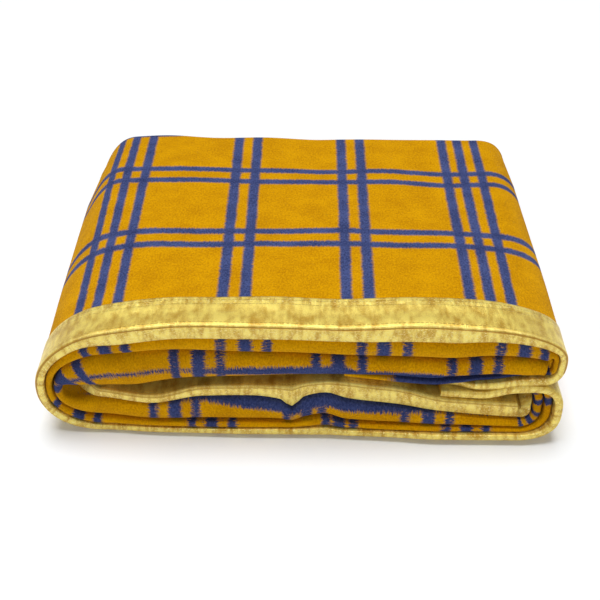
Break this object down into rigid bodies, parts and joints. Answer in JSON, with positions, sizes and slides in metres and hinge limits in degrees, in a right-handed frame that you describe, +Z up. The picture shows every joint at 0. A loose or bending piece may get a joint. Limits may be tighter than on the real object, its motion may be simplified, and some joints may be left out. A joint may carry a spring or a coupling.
{
  "type": "folded blanket",
  "caption": "Folded cotton blanket, mustard with a navy windowpane check, pleated and wrapped into a low stack with a gold satin binding along its edges",
  "frame": {"origin": "centre of the footprint on the surface the folded blanket rests on", "axes": "+X along the long front edge, +Y from the front with the bound edges to the back folds, +Z up"},
  "size_m": [0.515, 0.3552, 0.15],
  "materials": {
    "cotton": "brushed",
    "satin": "satin"
  },
  "bodies": {
    "root": {"blanket": "cotton", "binding_outer": "satin", "binding_inner": "satin"}
  },
  "joints": []
}
